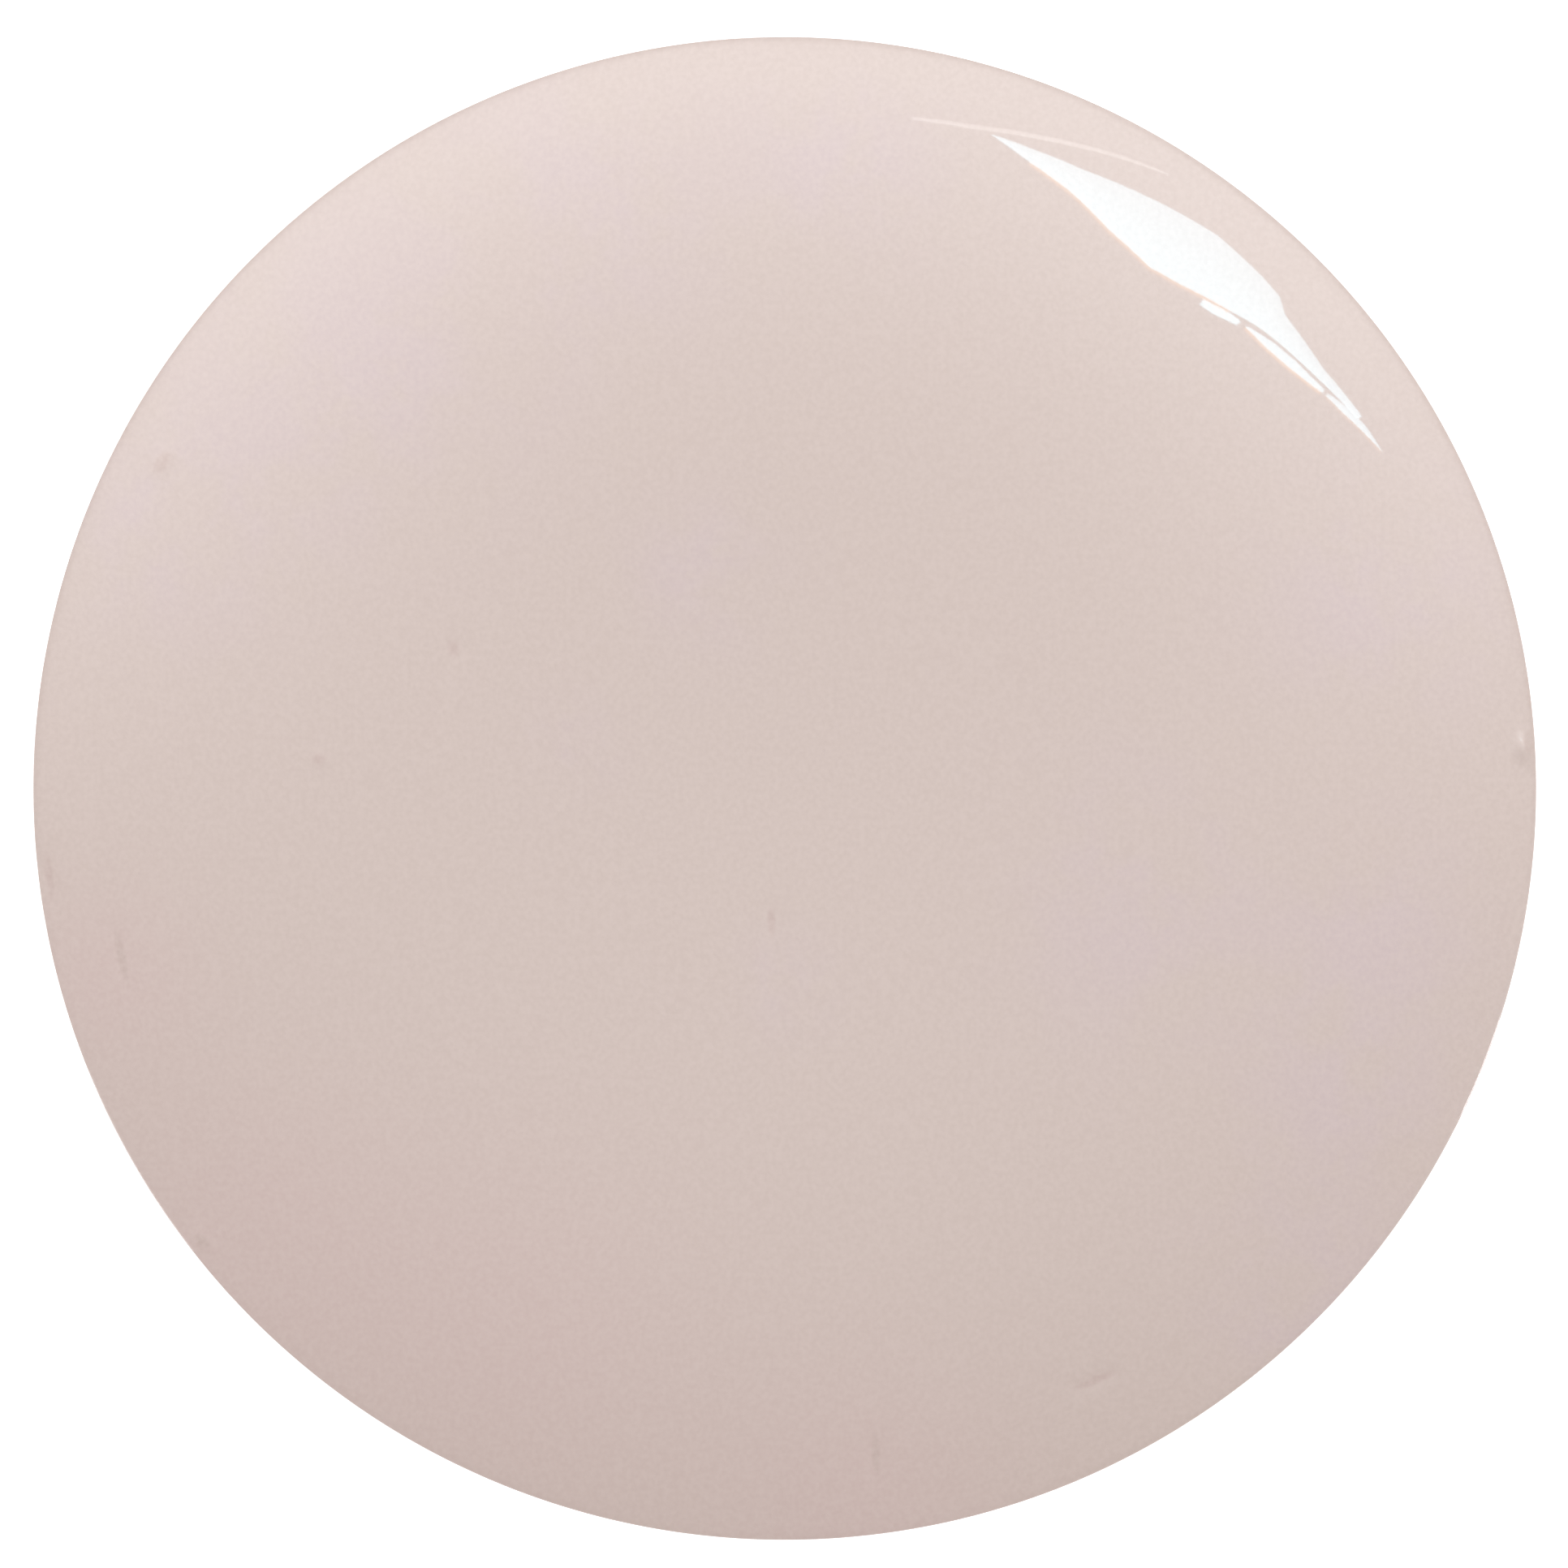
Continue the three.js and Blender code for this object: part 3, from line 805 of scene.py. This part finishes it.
def overcap_liner():
    """The sleeve that slides over the grip, and its wide deck."""
    bottom, top, radius = low("overcap_liner"), high("overcap_liner"), reach("overcap_liner")
    bore, sleeve, deck = 9.9, 11.3, top - 1.8
    outline = rounded(
        (0, deck),
        (bore, deck, 0.5),
        (bore, bottom, 0.35),
        (sleeve, bottom, 0.3),
        (sleeve, deck, 0.3),
        (radius, deck, 0.3),
        (radius, top, 0.3),
        (0, top),
        steps=4,
    )
    piece = lathe("inner_sleeve", divided(outline, 2.0), sides=192)
    return finish_piece(piece, "overcap", "overcap_liner", NATURAL)


def cap_weight():
    """The steel ring round the sleeve."""
    bottom, top, radius, bore = low("cap_weight"), high("cap_weight"), reach("cap_weight"), 11.4
    corners = [(bore, bottom, 0.4), (radius, bottom, 0.4), (radius, top, 0.4), (bore, top, 0.4)]
    outline = rounded(*corners, closed=True, steps=3)
    piece = lathe("weight_ring", outline, sides=128, closed=True)
    return finish_piece(piece, "overcap", "cap_weight", STEEL)


def dome_tape():
    """The tape under the tray."""
    bottom, top, radius = low("dome_tape"), high("dome_tape"), reach("dome_tape")
    outline = rounded((0, bottom), (radius, bottom, 0.06), (radius, top, 0.06), (0, top), steps=2)
    piece = lathe("tape_disc", outline, sides=128)
    return finish_piece(piece, "overcap", "dome_tape", TAPE)


def dome_tray():
    """The tray that the pool stands on."""
    bottom, top, radius = low("dome_tray"), high("dome_tray"), reach("dome_tray")
    outline = rounded((0, bottom), (radius, bottom, 0.16), (radius, top, 0.16), (0, top), steps=5)
    piece = lathe("tray_disc", divided(outline, 4.0), sides=360)
    return finish_piece(piece, "overcap", "dome_tray", LACQUER)


# ---- The pool of polish ----


def dome_height(share):
    """Height of the clean dome at a share of its radius."""
    return DOME_EDGE + DOME_RISE * (1 - share**DOME_POWER)


def dome_slope(share):
    """How much the clean dome falls for each millimetre outwards."""
    return DOME_RISE / BODY_RADIUS * DOME_POWER * share ** (DOME_POWER - 1)


def dome_relief(x, y):
    """The flaws' height at each place. All are in millimetres."""
    relief = np.zeros_like(x)
    for share, degrees, length, lean, width, depth in DRAG_MARKS:
        a, b = math.radians(degrees), math.radians(lean)
        dx, dy = x - BODY_RADIUS * share * math.cos(a), y - BODY_RADIUS * share * math.sin(a)
        along = dy * math.cos(b) - dx * math.sin(b)
        across = dx * math.cos(b) + dy * math.sin(b)
        relief += depth * np.exp(-((across / width) ** 2) - (along / length * 2) ** 4)
    share, degrees, size, stands = BUBBLE
    dx = x - BODY_RADIUS * share * math.cos(math.radians(degrees))
    dy = y - BODY_RADIUS * share * math.sin(math.radians(degrees))
    return relief + stands * np.exp(-((dx**2 + (dy * 0.7) ** 2) / size**2) ** 1.5)


def colour_dome():
    """The pool of polish that has levelled out to the tray's edge."""
    bottom = low("colour_dome")
    last = 1 - 0.2 / BODY_RADIUS
    edge = rounded(
        (0, bottom),
        (BODY_RADIUS, bottom, 0.12),
        (BODY_RADIUS, DOME_EDGE, 0.04),
        (BODY_RADIUS * last, dome_height(last)),
        steps=4,
    )
    shares = np.linspace(last, 0.004, 165)[1:]
    dome = [(BODY_RADIUS * share, dome_height(share)) for share in shares]

    def warp(radius, height, angle):
        """Adds the flaws, which fade out at the edge."""
        on_top = height > DOME_EDGE
        relief = dome_relief(radius * np.cos(angle), radius * np.sin(angle))
        fade = smoothstep(radius, BODY_RADIUS, BODY_RADIUS - 0.15)
        return radius, height + on_top * fade * relief

    outline = edge + dome + [(0, dome_height(0))]
    piece = lathe("polish_pool", outline, sides=540, warp=warp, sharp=60)
    places = np.array([v.co[:2] for v in piece.data.vertices]) / (BODY_RADIUS * MM)
    for name, patches in DRIFTS.items():
        amount = sum(np.exp(-(((places - (x, y)) / size) ** 2).sum(axis=1)) for x, y, size in patches)
        held = piece.data.attributes.new(name, "FLOAT", "POINT")
        held.data.foreach_set("value", np.clip(amount, 0, 1).astype(np.float32))
    return finish_piece(piece, "overcap", "colour_dome", POOL)


# ---- The studio ----

CAMERA_HEIGHT = 788.2 * MM  # above the pool's edge, far enough for an almost parallel view
CAMERA_PLACE = Vector((-0.018 * MM, 0.101 * MM, DOME_EDGE * MM + CAMERA_HEIGHT))


def camera():
    """A long lens straight above the pool."""
    data = bpy.data.cameras.new("camera")
    data.sensor_width, data.lens = 36, 800
    data.clip_start, data.clip_end = 0.05, 20
    made = bpy.data.objects.new("camera", data)
    made.location = CAMERA_PLACE
    bpy.context.scene.collection.objects.link(made)
    bpy.context.scene.camera = made


def floor():
    """A pale matt table that glows a little. Its glow is painted light, strongest round the bottle and weaker
    further out, with a painted contact shadow where the bottle's heel nearly touches it.
    """
    half = 6.0
    corners = [(-half, -half, 0), (half, -half, 0), (half, half, 0), (-half, half, 0)]
    made = mesh_object("floor", corners, [(0, 1, 2, 3)])
    white = (1, 1, 1, 1)
    paint = Paint("pale_table", (0.86, 0.86, 0.86), 0.9, specular_ior_level=0.1, emission_color=white)
    from_axis = paint.node("VectorMath", operation="LENGTH")
    paint.links.new(paint.coordinates, from_axis.inputs[0])
    distance = from_axis.outputs["Value"]
    from_heel = paint.maths("ABSOLUTE", paint.maths("SUBTRACT", distance, BODY_RADIUS * MM))
    # painted contact shadow: the glow falls to a fifth where the heel nearly touches the table
    painted_contact_shadow = paint.ranged(from_heel, 0, 2.4 * MM, 0.2, 1, smooth=True)
    # painted light: the glow is strongest close to the bottle and fades outwards
    painted_light_round_bottle = paint.ranged(distance, 24 * MM, 160 * MM, 0.68, 0.26, smooth=True)
    distant = paint.ranged(distance, 0.35, 1.0, 0, 0.16, smooth=True)
    glow = paint.maths("ADD", paint.maths("MULTIPLY", painted_contact_shadow, painted_light_round_bottle), distant)
    paint.links.new(glow, paint.shader.inputs["Emission Strength"])
    made.data.materials.append(paint.material)


def soft_lamp(name, place, size, power, gloss=True):
    """An oblong soft lamp aimed at the middle of the bottle.

    Its place and size are in metres, its power in watts. Without gloss, shiny surfaces don't mirror it.
    """
    data = bpy.data.lights.new(name, "AREA")
    data.shape = "RECTANGLE"
    data.size, data.size_y = size
    data.energy = power
    made = bpy.data.objects.new(name, data)
    made.location = place
    aim = Vector((0, 0, 0.05)) - made.location
    made.rotation_euler = aim.to_track_quat("-Z", "Y").to_euler()
    made.visible_camera = False
    made.visible_glossy = gloss
    bpy.context.scene.collection.objects.link(made)


def world():
    """Soft light: dim low down, bright overhead and behind, and pale below the table's far edge."""
    made = bpy.data.worlds.new("studio")
    bpy.context.scene.world = made
    made.use_nodes = True
    nodes, links = made.node_tree.nodes, made.node_tree.links
    nodes["Background"].inputs["Color"].default_value = (1, 1, 1, 1)
    direction = nodes.new("ShaderNodeTexCoord").outputs["Generated"]

    def glow(toward, start, end, dim, bright):
        """Strength from dim to bright as the direction nears toward."""
        share = nodes.new("ShaderNodeVectorMath")
        share.operation = "DOT_PRODUCT"
        share.inputs[1].default_value = Vector(toward).normalized()
        links.new(direction, share.inputs[0])
        ranged = nodes.new("ShaderNodeMapRange")
        ranged.interpolation_type = "SMOOTHSTEP"
        for socket, number in zip(ranged.inputs[1:5], (start, end, dim, bright)):
            socket.default_value = number
        links.new(share.outputs["Value"], ranged.inputs[0])
        return ranged.outputs[0]

    total = nodes.new("ShaderNodeMath")
    total.operation = "ADD"
    links.new(glow((0, 0.45, 0.9), 0.2, 1.0, 0.31, 1.17), total.inputs[0])
    links.new(glow((0, 0, -1), -0.01, 0.01, 0, 0.8), total.inputs[1])
    links.new(total.outputs[0], nodes["Background"].inputs["Strength"])


LAMP_HEIGHT = 0.55  # of the silks, above the table


def glowing_sheet(name, places, faces, glow, colour=(1, 1, 1), lights_paint=True):
    """A clear sheet that adds light of the strength given at each place. The camera doesn't see it."""
    made = mesh_object(name, places, faces)
    strength = made.data.attributes.new("glow", "FLOAT", "POINT")
    strength.data.foreach_set("value", np.array(glow, dtype=np.float32))
    material = bpy.data.materials.new(name)
    material.use_nodes = True
    nodes, links = material.node_tree.nodes, material.node_tree.links
    nodes.remove(nodes["Principled BSDF"])
    emission, clear, both = (
        nodes.new("ShaderNode" + kind) for kind in ("Emission", "BsdfTransparent", "AddShader")
    )
    attribute = nodes.new("ShaderNodeAttribute")
    attribute.attribute_name = "glow"
    emission.inputs["Color"].default_value = (*colour, 1)
    links.new(attribute.outputs["Fac"], emission.inputs["Strength"])
    links.new(emission.outputs[0], both.inputs[0])
    links.new(clear.outputs[0], both.inputs[1])
    links.new(both.outputs[0], nodes["Material Output"].inputs["Surface"])
    made.data.materials.append(material)
    made.visible_camera = False
    made.visible_shadow = False
    made.visible_diffuse = lights_paint


def mirrored(share, degrees):
    """Where the camera's ray meets the silks' level after the clean dome has mirrored it."""
    a, slope = math.radians(degrees), dome_slope(share)
    radius = BODY_RADIUS * share
    place = Vector((radius * math.cos(a), radius * math.sin(a), dome_height(share))) * MM
    normal = Vector((slope * math.cos(a), slope * math.sin(a), 1)).normalized()
    ray = (place - CAMERA_PLACE).normalized()
    away = ray - 2 * ray.dot(normal) * normal
    return place + away * ((LAMP_HEIGHT - place.z) / away.z)


# The key light is a torn silk. Each row gives a place along it, as it shows in the pool:
# degrees round the pool, and its inner and outer edges as shares of the pool's radius.
KEY_SILK = [
    (72.4, 0.9115, 0.9125), (68.6, 0.894, 0.912), (64.0, 0.878, 0.914), (59.8, 0.858, 0.921),
    (55.0, 0.8455, 0.929), (52.0, 0.851, 0.934), (47.0, 0.868, 0.931), (44.8, 0.877, 0.928),
    (43.4, 0.8815, 0.916), (38.0, 0.893, 0.908), (32.8, 0.9065, 0.9135),
]
KEY_FLAP = [(49.4, 0.847, 0.8565), (48.0, 0.8495, 0.862), (46.8, 0.855, 0.8665), (45.7, 0.8605, 0.868)]
KEY_STRIP = [
    (45.0, 0.8665, 0.8695), (42.4, 0.8675, 0.8795), (40.0, 0.8725, 0.8855),
    (38.4, 0.878, 0.888), (36.4, 0.8865, 0.8925),
]
KEY_TAIL = [(36.0, 0.8885, 0.8935), (34.0, 0.894, 0.904), (32.0, 0.902, 0.9105), (29.4, 0.9115, 0.9125)]
FAR_EDGE = [
    (79.2, 0.905, 0.909), (74.0, 0.912, 0.918), (68.0, 0.929, 0.935),
    (62.0, 0.949, 0.954), (58.0, 0.962, 0.964),
]
COLUMNS = 4  # that a silk is divided into from its inner to its outer edge


def silk(name, stations, inner_glow, outer_glow, colour=(1, 1, 1)):
    """A sheet of light that the pool mirrors as the outline in stations."""
    steps = np.arange(len(stations))
    fine = np.linspace(0, steps[-1], 8 * steps[-1] + 1)
    degrees, inner, outer = (np.interp(fine, steps, column) for column in zip(*stations))
    places, glow = [], []
    for angle, one, two in zip(degrees, inner, outer):
        for t in np.linspace(0, 1, COLUMNS + 1):
            places.append(mirrored(one + (two - one) * t, angle))
            glow.append(inner_glow + (outer_glow - inner_glow) * t)
    row = COLUMNS + 1
    faces = [
        (i * row + j, i * row + j + 1, (i + 1) * row + j + 1, (i + 1) * row + j)
        for i in range(len(fine) - 1)
        for j in range(COLUMNS)
    ]
    glowing_sheet(name, places, faces, glow, colour)


def fringe(stations, width):
    """The warm line inside a silk's inner edge."""
    return [(angle, inner - width, inner + 0.0005) for angle, inner, _ in stations]


def back_silk():
    """A wide soft sheet behind the bottle, which only shiny surfaces mirror. It fades in from overhead."""
    inner, outer, rings, spokes = 0.03, 0.62, 24, 48
    places, glow = [], []
    for radius in np.linspace(inner, outer, rings):
        for angle in np.linspace(math.radians(-20), math.radians(204), spokes):
            places.append((radius * math.cos(angle), radius * math.sin(angle), LAMP_HEIGHT + 0.01))
            across = smoothstep(abs(math.degrees(angle) - 92), 112, 35)
            outwards = np.clip((radius - 0.05) / 0.33, 0, 1) ** 1.4 * smoothstep(radius, outer, 0.43)
            glow.append(1.8 * across * outwards)
    faces = [
        (i * spokes + j, i * spokes + j + 1, (i + 1) * spokes + j + 1, (i + 1) * spokes + j)
        for i in range(rings - 1)
        for j in range(spokes - 1)
    ]
    glowing_sheet("back_silk", places, faces, glow, lights_paint=False)


def lamps():
    """Three strips for the sides, the torn key light with its warm fringes, and the soft light behind."""
    soft_lamp("strip_right", (0.7, -0.28, 0.2), (0.1, 0.8), 2.4)
    soft_lamp("strip_left", (-0.66, -0.38, 0.22), (0.2, 0.8), 1.7)
    soft_lamp("strip_back", (-0.2, 0.75, 0.2), (0.16, 0.8), 1.3, gloss=False)
    cool, warm = (0.52, 0.87, 1.0), (1.0, 0.42, 0.04)
    silk("key_silk", KEY_SILK, 7.2, 5.4, cool)
    silk("key_flap", KEY_FLAP, 7.6, 7.6, cool)
    silk("key_strip", KEY_STRIP, 7.6, 6.6, cool)
    silk("key_tail", KEY_TAIL, 7.4, 5.5, cool)
    silk("key_fringe", fringe(KEY_SILK[1:7], 0.0045), 1.6, 3.4, warm)
    silk("strip_fringe", fringe(KEY_STRIP, 0.004), 2, 3.6, warm)
    silk("tail_fringe", fringe(KEY_TAIL, 0.003), 1, 2, warm)
    silk("far_edge", FAR_EDGE, 2.2, 1.5)
    back_silk()


# ---- Everything ----

glass_bottle()
polish_fill()
mixing_balls()
base_label()
neck_collar()
seal_liner()
brush_stem()
bristles()
tuft_staple()
cap_core()
grip_sleeve()
overcap_body()
overcap_liner()
cap_weight()
dome_tape()
dome_tray()
colour_dome()

camera()
floor()
lamps()
world()
bpy.context.scene.view_settings.view_transform = "Standard"
